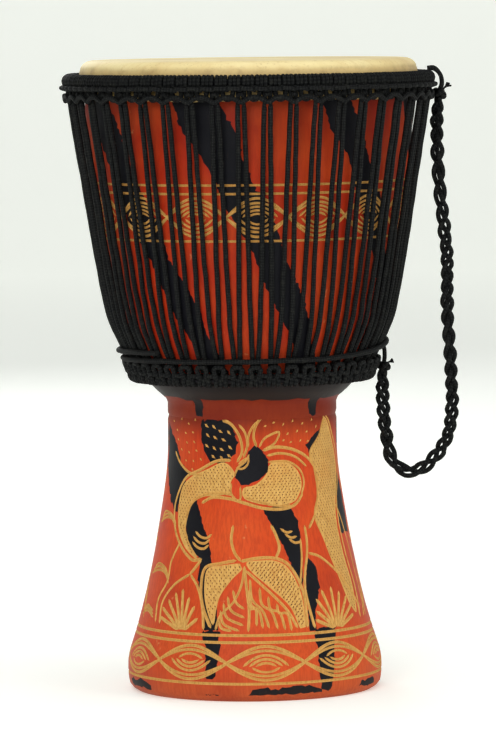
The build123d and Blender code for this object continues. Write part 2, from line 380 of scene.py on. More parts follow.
FINISHES = {
    "red": red_paint(),
    "black": black_paint(),
    "cut": cut_wood(),
    "stain": stained_prick(),
    "bare": bare_wood(),
    "hide": goat_hide(),
    "rope": black_rope(),
    "steel": steel_rod(),
}


# ---------------------------------------------------------------- curves through given points
def smooth_line(points, step, closed=False):
    """A Catmull-Rom line through given points, sampled about every step."""
    points = [Vector(point) for point in points]
    if closed:
        points = [points[-1], *points, points[0], points[1]]
    else:
        points = [2 * points[0] - points[1], *points, 2 * points[-1] - points[-2]]
    line = []
    for before, start, end, after in zip(points, points[1:], points[2:], points[3:]):
        count = max(1, round((end - start).length / step))
        for index in range(count):
            t = index / count
            line.append(0.5 * (2 * start + (end - before) * t
                               + (2 * before - 5 * start + 4 * end - after) * t * t
                               + (3 * start - before - 3 * end + after) * t ** 3))
    if not closed:
        line.append(points[-2])
    return line


# ---------------------------------------------------------------- rope work by Geometry Nodes
def rope_tree():
    """Copies the strands round the drum's axis, makes them uneven and gives them their thickness."""
    tree = bpy.data.node_groups.new("rope_round_the_drum", "GeometryNodeTree")
    sockets = tree.interface
    sockets.new_socket("Strands", in_out="INPUT", socket_type="NodeSocketGeometry")
    for name, kind in (("Copies", "NodeSocketInt"), ("Start angle", "NodeSocketFloat"),
                       ("Thickness", "NodeSocketFloat"), ("Sides", "NodeSocketInt"),
                       ("Unevenness", "NodeSocketFloat"), ("Seed", "NodeSocketFloat"),
                       ("Finish", "NodeSocketMaterial")):
        sockets.new_socket(name, in_out="INPUT", socket_type=kind)
    sockets.new_socket("Rope", in_out="OUTPUT", socket_type="NodeSocketGeometry")

    def node(kind, **settings):
        made = tree.nodes.new(kind)
        for key, value in settings.items():
            setattr(made, key, value)
        return made

    def link(source, target):
        tree.links.new(source, target)

    def calculate(operation, first, second):
        made = node("ShaderNodeMath", operation=operation)
        for socket, value in zip(made.inputs, (first, second)):
            if isinstance(value, float):
                socket.default_value = value
            else:
                link(value, socket)
        return made.outputs[0]

    given = node("NodeGroupInput").outputs
    points = node("GeometryNodePoints")
    link(given["Copies"], points.inputs["Count"])
    pitch = calculate("DIVIDE", 2 * math.pi, given["Copies"])
    angle = calculate("MULTIPLY", node("GeometryNodeInputIndex").outputs["Index"], pitch)
    angle = calculate("ADD", angle, given["Start angle"])
    turn = node("ShaderNodeCombineXYZ")
    link(angle, turn.inputs["Z"])
    rotation = node("FunctionNodeEulerToRotation")
    link(turn.outputs["Vector"], rotation.inputs["Euler"])
    strands = node("GeometryNodeMeshToCurve")
    link(given["Strands"], strands.inputs["Mesh"])
    copies = node("GeometryNodeInstanceOnPoints")
    link(points.outputs[0], copies.inputs["Points"])
    link(strands.outputs["Curve"], copies.inputs["Instance"])
    link(rotation.outputs["Rotation"], copies.inputs["Rotation"])
    single = node("GeometryNodeRealizeInstances")
    link(copies.outputs["Instances"], single.inputs["Geometry"])

    wander = node("ShaderNodeTexNoise", noise_dimensions="4D")
    wander.inputs["Scale"].default_value = 38.0
    wander.inputs["Detail"].default_value = 1.0
    link(given["Seed"], wander.inputs["W"])
    link(node("GeometryNodeInputPosition").outputs["Position"], wander.inputs["Vector"])
    centred = node("ShaderNodeVectorMath", operation="SUBTRACT")
    centred.inputs[1].default_value = (0.5, 0.5, 0.5)
    link(wander.outputs["Color"], centred.inputs[0])
    scaled = node("ShaderNodeVectorMath", operation="SCALE")
    link(centred.outputs["Vector"], scaled.inputs[0])
    link(given["Unevenness"], scaled.inputs["Scale"])
    moved = node("GeometryNodeSetPosition")
    link(single.outputs["Geometry"], moved.inputs["Geometry"])
    link(scaled.outputs["Vector"], moved.inputs["Offset"])

    along = node("GeometryNodeStoreNamedAttribute", data_type="FLOAT", domain="POINT")
    along.inputs["Name"].default_value = "along"
    link(moved.outputs["Geometry"], along.inputs["Geometry"])
    link(node("GeometryNodeSplineParameter").outputs["Length"], along.inputs["Value"])

    section = node("GeometryNodeCurvePrimitiveCircle", mode="RADIUS")
    link(given["Sides"], section.inputs["Resolution"])
    radius = calculate("MULTIPLY", given["Thickness"], 0.5)
    link(radius, section.inputs["Radius"])
    side = node("GeometryNodeStoreNamedAttribute", data_type="FLOAT_VECTOR", domain="POINT")
    side.inputs["Name"].default_value = "rope_side"
    link(section.outputs["Curve"], side.inputs["Geometry"])
    link(node("GeometryNodeInputPosition").outputs["Position"], side.inputs["Value"])

    tube = node("GeometryNodeCurveToMesh")
    tube.inputs["Fill Caps"].default_value = True
    link(along.outputs["Geometry"], tube.inputs["Curve"])
    link(side.outputs["Geometry"], tube.inputs["Profile Curve"])
    smooth = node("GeometryNodeSetShadeSmooth")
    link(tube.outputs["Mesh"], smooth.inputs["Geometry"])
    whole = node("GeometryNodeRealizeInstances")
    link(smooth.outputs["Geometry"], whole.inputs["Geometry"])
    finish = node("GeometryNodeSetMaterial")
    link(whole.outputs["Geometry"], finish.inputs["Geometry"])
    link(given["Finish"], finish.inputs["Material"])
    link(finish.outputs["Geometry"], node("NodeGroupOutput").inputs["Rope"])
    return tree


ROPE_TREE = rope_tree()


def rope_piece(name, strands, thickness, copies=1, start=0.0, sides=8, unevenness=0.0, seed=1.0,
               closed=False):
    """Strands as lists of points become one plain mesh of rope."""
    vertices, edges = [], []
    for strand in strands:
        first = len(vertices)
        vertices.extend(strand)
        edges.extend((first + i, first + i + 1) for i in range(len(strand) - 1))
        if closed:
            edges.append((len(vertices) - 1, first))
    host = new_object(name + "_host", new_mesh(name + "_lines", vertices, edges, []))
    modifier = host.modifiers.new("rope", "NODES")
    modifier.node_group = ROPE_TREE
    values = {"Copies": copies, "Start angle": start, "Thickness": thickness, "Sides": sides,
              "Unevenness": unevenness, "Seed": seed, "Finish": FINISHES["rope"]}
    for item in ROPE_TREE.interface.items_tree:
        if item.name in values:
            modifier[item.identifier] = values[item.name]
    bpy.context.view_layer.update()
    evaluated = host.evaluated_get(bpy.context.evaluated_depsgraph_get())
    mesh = bpy.data.meshes.new_from_object(evaluated)
    mesh.name = name
    host.modifiers.remove(modifier)
    bpy.data.objects.remove(host)
    return new_object(name, mesh)


def add_piece(piece, body, slot, *nodes):
    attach(piece, body)
    if nodes:
        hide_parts(*nodes)
    return piece


# ---------------------------------------------------------------- the handle: a loose plait of black rope
HANDLE_ROUTE = [
    (0.1806, 0.0, 0.5606), (0.1782, 0.0005, 0.540), (0.1788, 0.0015, 0.508), (0.182, 0.002, 0.462),
    (0.1878, 0.001, 0.414), (0.1866, -0.001, 0.366), (0.1888, -0.0025, 0.322), (0.1906, -0.003, 0.288),
    (0.1909, -0.002, 0.262), (0.1875, -0.0005, 0.238), (0.176, 0.001, 0.2195), (0.1625, 0.0025, 0.2065),
    (0.1495, 0.003, 0.2035), (0.138, 0.003, 0.209), (0.1308, 0.0025, 0.220), (0.1282, 0.0015, 0.236),
    (0.1258, 0.0005, 0.258), (0.1244, -0.0005, 0.281), (0.1252, 0.0, 0.3026),
]


def handle_line():
    """The handle's own line: one smooth spline drawn by the route's points."""
    curve = bpy.data.curves.new("handle_route", "CURVE")
    curve.dimensions = "3D"
    curve.resolution_u = 12
    spline = curve.splines.new("NURBS")
    spline.points.add(len(HANDLE_ROUTE) - 1)
    for point, place in zip(spline.points, HANDLE_ROUTE):
        point.co = (*place, 1)
    spline.order_u = 3
    spline.use_endpoint_u = True
    holder = new_object("handle_route", curve)
    bpy.context.view_layer.update()
    mesh = bpy.data.meshes.new_from_object(holder)
    line = [vertex.co.copy() for vertex in mesh.vertices]
    bpy.data.objects.remove(holder)
    return line


PLAIT_STEP = 0.0021       # between the points of a strand
PLAIT_SLACKS = 40         # different tightnesses that its turns take


def plait(line, strands=3, period=0.044, half_width=0.0043, half_depth=0.0027, seed=5):
    """Strands that weave over and under each other along a line, drifting and turning slowly as they go."""
    draw = random.Random(seed)
    total = sum((b - a).length for a, b in zip(line, line[1:]))
    spots, travelled = [(line[0], 0.0)], 0.0
    for before, after in zip(line, line[1:]):
        travelled += (after - before).length
        spots.append((after, travelled))
    loose = [draw.uniform(0.72, 1.22) for _ in range(PLAIT_SLACKS)]
    made = [[] for _ in range(strands)]
    wide = Vector((1, 0, 0))
    steps = int(total / PLAIT_STEP)
    index = 0
    for step in range(steps + 1):
        distance = total * step / steps
        while index < len(spots) - 2 and spots[index + 1][1] < distance:
            index += 1
        (here, start), (there, end) = spots[index], spots[index + 1]
        place = here.lerp(there, (distance - start) / (end - start))
        along = (there - here).normalized()
        wide = (wide - along * wide.dot(along)).normalized()
        deep = along.cross(wide)
        twist = 0.55 * math.sin(distance * 17.0 + 0.8)
        across = wide * math.cos(twist) + deep * math.sin(twist)
        through = deep * math.cos(twist) - wide * math.sin(twist)
        drift = 0.8 * math.sin(distance * 41.0) + 0.5 * math.sin(distance * 23.0 + 1.0)
        pinch = min(1.0, 0.45 + 40 * min(distance, total - distance))
        for number in range(strands):
            phase = 2 * math.pi * (distance / period + number / strands) + drift
            slack = loose[int(distance / period * 3 + number * 7) % PLAIT_SLACKS]
            sideways = across * half_width * pinch * math.sin(phase) * (0.5 + 0.5 * slack)
            made[number].append(place + sideways + through * half_depth * pinch * math.sin(2 * phase))
    return made


def knot_strand(centre, size, up, steps=48):
    """A closed overhand knot drawn up tight."""
    turn = Vector((0, 0, 1)).rotation_difference(Vector(up)).to_matrix()
    points = []
    for step in range(steps):
        t = 2 * math.pi * step / steps
        across = math.sin(t) + 1.7 * math.sin(2 * t)
        along = math.cos(t) - 1.7 * math.cos(2 * t)
        points.append(Vector(centre) + turn @ (Vector((across, along, -1.1 * math.sin(3 * t))) * size))
    return points


def frayed_end(start, direction, length, seed, strands=9, splay=0.32):
    """Loose yarns at a cut and singed end."""
    draw = random.Random(seed)
    direction = Vector(direction).normalized()
    made = []
    for _ in range(strands):
        spread = Vector((draw.uniform(-1, 1), draw.uniform(-1, 1), draw.uniform(-1, 1))) * splay
        reach = length * draw.uniform(0.7, 1.0)
        tip = Vector(start) + (direction + spread).normalized() * reach
        middle = Vector(start) + direction * reach * 0.5 + spread * reach * 0.12
        made.append(smooth_line([start, middle, tip], 0.002))
    return made


def join_pieces(name, parts):
    """Several meshes become one piece."""
    merged = bmesh.new()
    for part in parts:
        merged.from_mesh(part.data)
    mesh = bpy.data.meshes.new(name)
    merged.to_mesh(mesh)
    merged.free()
    mesh.materials.append(parts[0].data.materials[0])
    for part in parts:
        bpy.data.objects.remove(part)
    return new_object(name, mesh)


def tied_end(name, node, knot, stems, fray):
    """A knot, the rope ends that lead out of it, and its frayed tail, as one piece."""
    centre, size, up, thickness = knot
    stem_lines = [smooth_line(points, 0.0015) for points in stems]
    tail, direction, length, seed, yarn = fray
    piece = join_pieces(name, [
        rope_piece("knot", [knot_strand(centre, size, up)], thickness, sides=10, closed=True),
        rope_piece("stem", stem_lines, 0.0042, sides=10),
        rope_piece("fray", frayed_end(tail, direction, length, seed), yarn, sides=6)])
    return add_piece(piece, "drum", "black_rope", node)


def make_handle():
    line = handle_line()
    handle = rope_piece("plaited_handle", plait(line), 0.0047, sides=10)
    top_stems = [
        [(0.1812, -0.002, 0.568), (0.1835, -0.003, 0.5745), (0.1822, -0.003, 0.583),
         (0.1765, -0.003, 0.5885), (0.1705, -0.003, 0.5885)],
        [(0.1812, 0.002, 0.568), (0.1840, 0.003, 0.5735), (0.1828, 0.003, 0.582), (0.1770, 0.003, 0.5892),
         (0.1700, 0.003, 0.5892)],
    ]
    top = tied_end("handle_top_knot", "handle_knot_top", ((0.1815, 0, 0.5650), 0.0021,
                                                          (0.3, 0.2, 1), 0.0046),
                   top_stems, ((0.1850, 0.003, 0.569), (0.75, 0.2, 0.65), 0.009, 3, 0.0019))
    lower_stem = [(0.1262, -0.001, 0.309), (0.1270, -0.002, 0.316), (0.1262, -0.002, 0.324),
                  (0.1222, -0.002, 0.3275)]
    bottom = tied_end("handle_lower_knot", "handle_knot_bottom",
                      ((0.1262, 0, 0.3060), 0.0019, (0.1, 0.1, 1), 0.0044),
                      [lower_stem], ((0.1290, 0.0, 0.309), (1, 0.1, 0.25), 0.007, 4, 0.0017))
    add_piece(handle, "handle", "black_rope", "handle_cord")
    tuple(HANDLE_ROUTE[0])


# ---------------------------------------------------------------- rope work on the drum
def around(radius, across, height):
    """A point of one unit of rope work, facing along +X, from millimetres."""
    return (radius * MM, across * MM, height * MM)


def mirrored(half):
    """A hairpin: up one side, over the top and down the other."""
    return half + [(x, -y, z) for x, y, z in reversed(half)]


def hitch(ring_radius, height, wrap_radius, wraps, spacing, lean, points_a_turn=14):
    """Turns of rope drawn tight round a steel ring."""
    points = []
    count = int(wraps * points_a_turn)
    for step in range(count + 1):
        share = step / count
        turn = math.radians(-150) - 2 * math.pi * wraps * share
        along = (share - 0.5) * wraps * spacing + lean * math.sin(turn)
        radius = ring_radius + wrap_radius * math.cos(turn)
        points.append(around(radius, along, height + wrap_radius * math.sin(turn)))
    return points


# one unit of each kind of rope work: radius, distance to the side and height, in millimetres
STRAND = [(112.6, 5.9, 309), (119.2, 5.8, 321), (133.0, 5.3, 350.5), (139.8, 5.0, 377), (146.2, 4.6, 412),
          (169.6, 2.9, 556), (171.2, 2.6, 566.0), (171.6, 1.2, 569.6)]
CROWN_LOOP = [(169.9, 5.4, 577.0), (170.2, 4.8, 571.5), (170.4, 4.2, 567.6), (170.5, 2.6, 565.0),
              (170.5, 0.9, 564.2)]
CROWN_BAR = [(174.4, -6.3, 575.5), (176.9, -4.4, 574.6), (177.9, -1.5, 574.3), (177.9, 2.0, 574.2),
             (176.8, 4.8, 573.8), (173.9, 6.6, 573.0)]
CROWN_TIE = [(169.7, 2.4, 578.0), (170.2, 2.7, 571.0), (170.2, 2.2, 563.0)]
LOWER_BAR = [(115.6, -6.8, 305.2), (118.3, -4.6, 305.9), (119.4, -1.5, 306.0), (119.3, 2.0, 305.4),
             (117.8, 5.0, 304.9), (115.2, 6.9, 304.2)]
LOWER_LOOP = [(115.8, 3.0, 302.0), (118.2, 3.2, 305.4), (119.6, 4.3, 308.8), (120.8, 4.8, 311.6),
              (121.3, 3.4, 313.9), (121.4, 1.1, 314.5)]
PULL_START = math.radians(-104)    # from the front
PULL_STEP = math.radians(21)
PULL_OUT = 5.0                     # millimetres from the strands' middle to the pull rope's
PULL_HEIGHTS = (317.2, 317.4, 317.8, 318.8, 319.6, 320.0, 320.4, 321.4, 324.4, 329.6, 331.4,
                331.2, 330.8, 330.0, 328.4, 326.4, 324.6, 324.0, 324.6, 325.6, 326.6)


def strand_radius(height):
    """How far out the vertical rope stands at a height, in millimetres, and its slope there."""
    for (low_radius, _, low), (high_radius, _, high) in zip(STRAND, STRAND[1:]):
        if low <= height <= high:
            slope = (high_radius - low_radius) / (high - low)
            return low_radius + slope * (height - low), slope
    return STRAND[0][0], 0.5


def pull_rope_line():
    """The last pull of rope, woven once round over the strands, with its end tucked at the front."""
    points = []
    for step, height in enumerate(PULL_HEIGHTS):
        angle = FRONT + PULL_START + PULL_STEP * step
        radius, slope = strand_radius(height)
        radius = radius + PULL_OUT * math.sqrt(1 + slope * slope)
        points.append(at_angle(radius * MM, angle, height * MM))
    return smooth_line(points, 0.005)


def cradle_line():
    """The rope that joins the crown loops to the hairpins: pulled up by one, down by the other."""
    points = []
    total = LOOPS * 8
    for step in range(total):
        angle = step * 2 * math.pi / total
        lift = abs(math.cos(LOOPS * (angle - LOOP_START) / 2)) ** 0.75
        points.append(at_angle((174.2 + 0.6 * lift) * MM, angle, (560.4 + 6.4 * lift) * MM))
    return points


def rope_work(name, strands, thickness, copies, start, sides, unevenness, seed, *nodes, closed=False):
    piece = rope_piece(name, strands, thickness, copies, start, sides, unevenness, seed, closed)
    add_piece(piece, "drum", "black_rope", *nodes)


def hairpin(half, step):
    return [smooth_line(mirrored([around(*point) for point in half]), step)]


def make_rope_work():
    rope_work("crown_hitches", [hitch(170.4, 580.5, 5.0, 2.9, 3.75, 0.7)], 0.0044, 2 * LOOPS,
              LOOP_START + PITCH / 4, 7, 0.0011, 2.0, "crown_hitches")
    bar = [smooth_line([around(*point) for point in CROWN_BAR], 0.0014)]
    rope_work("crown_bars", bar, 0.0042, 2 * LOOPS, LOOP_START + PITCH / 4, 7, 0.0016, 7.0)
    rope_work("crown_loops", hairpin(CROWN_LOOP, 0.0024), ROPE, LOOPS, LOOP_START, 8, 0.0014, 3.0,
              "crown_loops")
    ties = [smooth_line([around(radius, side * across, height) for radius, across, height in CROWN_TIE],
                        0.003)
            for side in (-1, 1)]
    rope_work("crown_ties", ties, 0.0046, LOOPS, PAIR_START, 7, 0.0014, 13.0)
    rope_work("cradle_rope_wavy", [cradle_line()], ROPE, 1, 0.0, 8, 0.0012, 4.0, "cradle_rope", closed=True)
    rope_work("vertical_strands", hairpin(STRAND, 0.006), ROPE, LOOPS, PAIR_START, 8, 0.0018, 5.0,
              "vertical_rope")
    rope_work("lower_ring_hitches", [hitch(112.0, 301.0, 4.3, 3.0, 4.5, 0.9)], 0.0048, LOOPS,
              LOOP_START, 8, 0.0014, 6.0, "lower_hitches")
    rope_work("lower_ring_loops", hairpin(LOWER_LOOP, 0.0024), ROPE, LOOPS, LOOP_START, 8, 0.0012, 8.0,
              "lower_loops")
    bar = [smooth_line([around(*point) for point in LOWER_BAR], 0.0016)]
    rope_work("lower_ring_bars", bar, 0.0042, LOOPS, PAIR_START, 7, 0.0016, 12.0)
    rope_work("pull_rope_woven", [pull_rope_line()], 0.0052, 1, 0.0, 10, 0.0022, 9.0, "pull_rope")


# ---------------------------------------------------------------- the skin
def turned(profile, columns, move):
    """A closed mesh turned round the drum's axis from a profile of (radius, height), moved point by point."""
    vertices, faces = [], []
    for radius, height in profile:
        for column in range(columns):
            vertices.append(move(radius, 2 * math.pi * column / columns, height))
    for row in range(len(profile) - 1):
        for column in range(columns):
            here, beside = row * columns + column, row * columns + (column + 1) % columns
            faces.append((here, beside, beside + columns, here + columns))
    for row in (0, len(profile) - 1):
        ring = [row * columns + column for column in range(columns)]
        vertices.append(sum((Vector(vertices[i]) for i in ring), Vector()) / columns)
        centre = len(vertices) - 1
        pairs = zip(ring, ring[1:] + ring[:1])
        faces.extend((centre, b, a) if row == 0 else (centre, a, b) for a, b in pairs)
    return vertices, faces


def skin_centre_line():
    """Across the head, over the bearing edge, down the side, round the flesh hoop and up the flap."""
    points = [(radius, 599.3) for radius in (2, 12, 25, 40, 55, 70, 84, 97, 109, 119, 128, 135, 141, 145)]
    points += [(148.5, 599.2), (151.2, 598.8), (153.6, 598.0), (155.6, 596.8), (157.2, 595.2),
               (158.4, 593.6), (158.9, 592.4), (159.1, 591.2), (159.5, 590.0), (159.8, 588.4),
               (159.9, 586.6), (159.8, 584.6), (159.4, 582.4), (158.7, 580.0), (157.8, 577.2),
               (157.0, 574.4), (156.5, 571.4), (156.3, 569.2)]
    hoop_radius, hoop_height, fold = 160.1, 567.5, 3.8
    for degrees in range(0, 181, 20):
        turn = math.radians(degrees)
        points.append((hoop_radius - fold * math.cos(turn), hoop_height - fold * math.sin(turn)))
    points += [(163.9, 570), (163.9, 572), (163.9, 573.8)]
    return points


def make_skin():
    """The skin's thickness round its centre line, turned round the drum and moved a little."""
    centre = [Vector(point) for point in skin_centre_line()]
    half = 0.68                                # of the skin's thickness
    crease_height, crease_depth = 591.6, 0.8
    outside, inside = [], []
    for index, point in enumerate(centre):
        before, after = centre[max(index - 1, 0)], centre[min(index + 1, len(centre) - 1)]
        along = (after - before).normalized()
        normal = Vector((-along.y, along.x))
        outside.append(point + normal * half)
        inside.append(point - normal * half)
    profile = [(p.x, p.y) for p in inside + outside[::-1]]

    def move(radius, angle, height):
        unit = Vector((math.cos(angle), math.sin(angle), 0))
        pleat = noise.noise(unit * 9 + Vector((0, 0, height * 0.03)))
        fine = noise.noise(unit * 34 + Vector((5, 0, height * 0.02)))
        share = min(1.0, max(0.0, (radius - 146) / 8))
        dip = 0.0
        if 155 < radius < 161:
            near_crease = max(0.0, 1 - abs(height - crease_height) / 1.5)
            dip = crease_depth * near_crease * min(1.0, max(0.0, 0.45 + 1.6 * noise.noise(unit * 2.2)))
        radius += share * (0.30 * pleat + 0.22 * fine) - dip
        if radius > 162:
            height += 1.4 * pleat + 0.8 * fine - 0.6
        elif radius < 146:
            height -= 0.12 * (1 + noise.noise(Vector((radius * unit.x, radius * unit.y, 0)) * 0.03))
        return (radius * MM * unit.x, radius * MM * unit.y, height * MM)

    vertices, faces = turned(profile, 320, move)
    mesh = new_mesh("goat_skin_head", vertices, [], faces, FINISHES["hide"])
    recalculate(mesh)
    head = new_object("goat_skin_head", mesh)
    add_piece(head, "drum", "goat_hide", "goat_skin")
    return head


def recalculate(mesh):
    """Merge doubles and point the faces outwards."""
    work = bmesh.new()
    work.from_mesh(mesh)
    bmesh.ops.remove_doubles(work, verts=work.verts, dist=WELD)
    bmesh.ops.dissolve_degenerate(work, edges=work.edges, dist=1e-6)
    bmesh.ops.recalc_face_normals(work, faces=work.faces)
    work.to_mesh(mesh)
    work.free()


# ---------------------------------------------------------------- the carved and painted shell
# Everything here is in millimetres.
NECK = 262.0              # height of the groove where the bowl's piece meets the foot's
CAD_RINGS = (485.0, 477.0, 433.0, 61.0, 53.0, 16.0, NECK)
NECK_GROOVE = 1.1         # depth of that groove
THROAT = 63               # inner radius at the neck
COLUMNS = 240             # round the turned rows that close the carved side
GRID = 4.0                # between rows of points where nothing is cut
CUT_SAMPLE = 1.6          # between the places that a stroke is found by
CUT_REACH = 2.7           # furthest that a stroke's place lies from what it cuts
CLEAR_OF_CUTS = 2.2       # a plain grid point keeps this far from every stroke
HOLLOW = 0.5              # depth of a pared area
WELD = 4e-6               # metres between points that become one
SHARP_EDGE = 32           # degrees
PAINT_ORDER = ("red", "black", "cut", "stain", "bare")


def wall_readers():
    """Two functions that give the shell's outer and inner radius at a height."""
    shell = cad_node("shell").data
    tree = BVHTree.FromPolygons([v.co for v in shell.vertices], [p.vertices[:] for p in shell.polygons])

    side = at_angle(1, 0.123, 0)

    def reader(heights, outside):
        found = []
        for height in heights:
            if outside and any(abs(height - ring) < 3.0 for ring in CAD_RINGS):
                continue
            level = Vector((0, 0, height * MM))
            hit = tree.ray_cast(level + side * 0.3, -side)[0] if outside else tree.ray_cast(level, side)[0]
            if hit is not None:
                found.append((height, math.hypot(hit.x, hit.y) / MM))

        def radius(height):
            after = bisect.bisect_right(found, (height, math.inf))
            if after in (0, len(found)):
                return found[min(after, len(found) - 1)][1]
            (low, low_radius), (high, high_radius) = found[after - 1:after + 1]
            return low_radius + (high_radius - low_radius) * (height - low) / (high - low)
        return radius

    outer = reader([6.5 + 3.1 * i for i in range(189)], True)
    inner = reader([0.5 + 4.0 * i for i in range(148)], False)
    return outer, inner


OUTER, INNER = wall_readers()


class Carving:
    """Gouge strokes, nicks and painted patches on one part of the shell, laid out on its unrolled side.

    A flat place is (distance round the unrolled side from the front, height).
    """

    def __init__(self, low, high, reach, seed):
        self.low, self.high = low, high
        self.reach = reach                 # the radius that the side is unrolled at
        self.edge = math.pi * reach        # half the sheet's width, where its two ends meet at the back
        self.draw = random.Random(seed)
        self.cuts, self.patches, self.hollows = [], [], []

    def flat(self, angle, height):
        return Vector((angle * self.reach, height))

    def front(self, x, height, turn=0.0):
        """A place given by how far it is to the side of the front's middle line, seen square on."""
        radius = OUTER(height)
        return self.flat(math.asin(max(-0.985, min(0.985, x / radius))) + turn, height)

    def line(self, points, width=2.6, depth=1.2, taper=True, step=2.6, finish="cut"):
        """A gouge stroke through flat points, running out to nothing at its ends unless it goes on."""
        if len(points) > 2:
            points = smooth_line(points, step)
        self.cuts.append(([Vector((p[0], p[1])) for p in points], width, depth, taper, finish))

    def stroke(self, points, turn=0.0, **kind):
        self.line([self.front(x, z, turn) for x, z in points], **kind)

    def ring(self, height, width=2.4, depth=1.1):
        end = self.edge + 4
        count = 110
        line = [Vector((-end + 2 * end * i / count, height)) for i in range(count + 1)]
        self.cuts.append((line, width, depth, False, "cut"))

    def nick(self, place, lean, length=3.0, width=1.5, depth=0.8, finish="cut"):
        """A short chip, pointed at both ends."""
        half = Vector((math.cos(lean), math.sin(lean))) * length / 2
        self.cuts.append(([place - half, place + half * 0.2, place + half], width, depth, True, finish))

    def pared(self, outline, spacing, lean, turn=0.0, length=2.3, width=1.15, slack=0.3):
        """An area pared down to pale wood and pricked all over in rows, given on the front."""
        outline = [self.front(x, z, turn) for x, z in outline]
        outline = [Vector((p.x, p.y)) for p in smooth_line(outline, 4.0, closed=True)]
        self.hollows.append(outline)
        self.patches.append((outline, "cut"))
        low, high = extent(outline)
        row, y = 0, low.y + spacing * 0.5
        while y < high.y:
            x = low.x + spacing * (0.5 if row % 2 else 1.0)
            while x < high.x:
                place = Vector((x + self.draw.uniform(-slack, slack), y + self.draw.uniform(-slack, slack)))
                if inside(place, outline) and clearance(place, outline) > 1.5:
                    self.nick(place, lean + self.draw.uniform(-0.3, 0.3), length, width, 0.55, "stain")
                x += spacing * 1.25
            y += spacing * 0.72
            row += 1

    def carry_round(self):
        """What runs past the seam at the back goes on from its other side."""
        for points, *how in list(self.cuts):
            if min(p.x for p in points) < -self.edge and max(p.x for p in points) > self.edge:
                continue
            again = carried(points, self.edge)
            if again:
                self.cuts.append((again, *how))
        for outline, finish in list(self.patches):
            again = carried(outline, self.edge)
            if again:
                self.patches.append((again, finish))
        for outline in list(self.hollows):
            again = carried(outline, self.edge)
            if again:
                self.hollows.append(again)

    def patch(self, points, finish="black", rough=0.0):
        """An area of another finish, with a brushed edge."""
        edge = []
        for start, end in zip(points, points[1:] + points[:1]):
            count = max(1, round((end - start).length / 3.0)) if rough else 1
            for i in range(count):
                place = start.lerp(end, i / count)
                shake = Vector((self.draw.gauss(0, rough), self.draw.gauss(0,
                                                                           rough))) if rough else Vector((0,
                                                                                                          0))
                edge.append(place + shake)
        self.patches.append((edge, finish))

    def front_patch(self, points, finish="black", rough=0.6, turn=0.0):
        self.patch([self.front(x, z, turn) for x, z in points], finish, rough)


def carried(points, edge):
    """A line that runs past the unrolled sheet's end, carried on at its other end."""
    if max(p.x for p in points) > edge:
        return [Vector((p.x - 2 * edge, p.y)) for p in points]
    if min(p.x for p in points) < -edge:
        return [Vector((p.x + 2 * edge, p.y)) for p in points]
    return None


def extent(outline):
    """An outline's box as its least and greatest corner."""
    low = Vector((min(p.x for p in outline), min(p.y for p in outline)))
    high = Vector((max(p.x for p in outline), max(p.y for p in outline)))
    return low, high


def boxed(place, box):
    low, high = box
    return low.x < place.x < high.x and low.y < place.y < high.y


def inside(place, outline):
    """Whether a flat place lies within an outline."""
    crossed = False
    for a, b in zip(outline, outline[1:] + outline[:1]):
        if (a.y > place.y) != (b.y > place.y):
            if place.x < a.x + (b.x - a.x) * (place.y - a.y) / (b.y - a.y):
                crossed = not crossed
    return crossed


def clearance(place, outline):
    """How far a flat place is from an outline's nearest side."""
    nearest = 1e9
    for a, b in zip(outline, outline[1:] + outline[:1]):
        side = b - a
        share = max(0.0, min(1.0, (place - a).dot(side) / max(side.length_squared, 1e-9)))
        nearest = min(nearest, (place - a - side * share).length)
    return nearest


def cut_edges(points, width, taper):
    """The two edges of a gouge stroke, meeting at its tips when it tapers."""
    left, right = [], []
    last = len(points) - 1
    for index, point in enumerate(points):
        along = points[min(index + 1, last)] - points[max(index - 1, 0)]
        along = along.normalized() if along.length > 1e-6 else Vector((1, 0))
        side = Vector((-along.y, along.x)) * (width / 2)
        if taper and index in (0, last):
            side = Vector((0, 0))
        left.append(point + side)
        right.append(point - side)
    return left, right


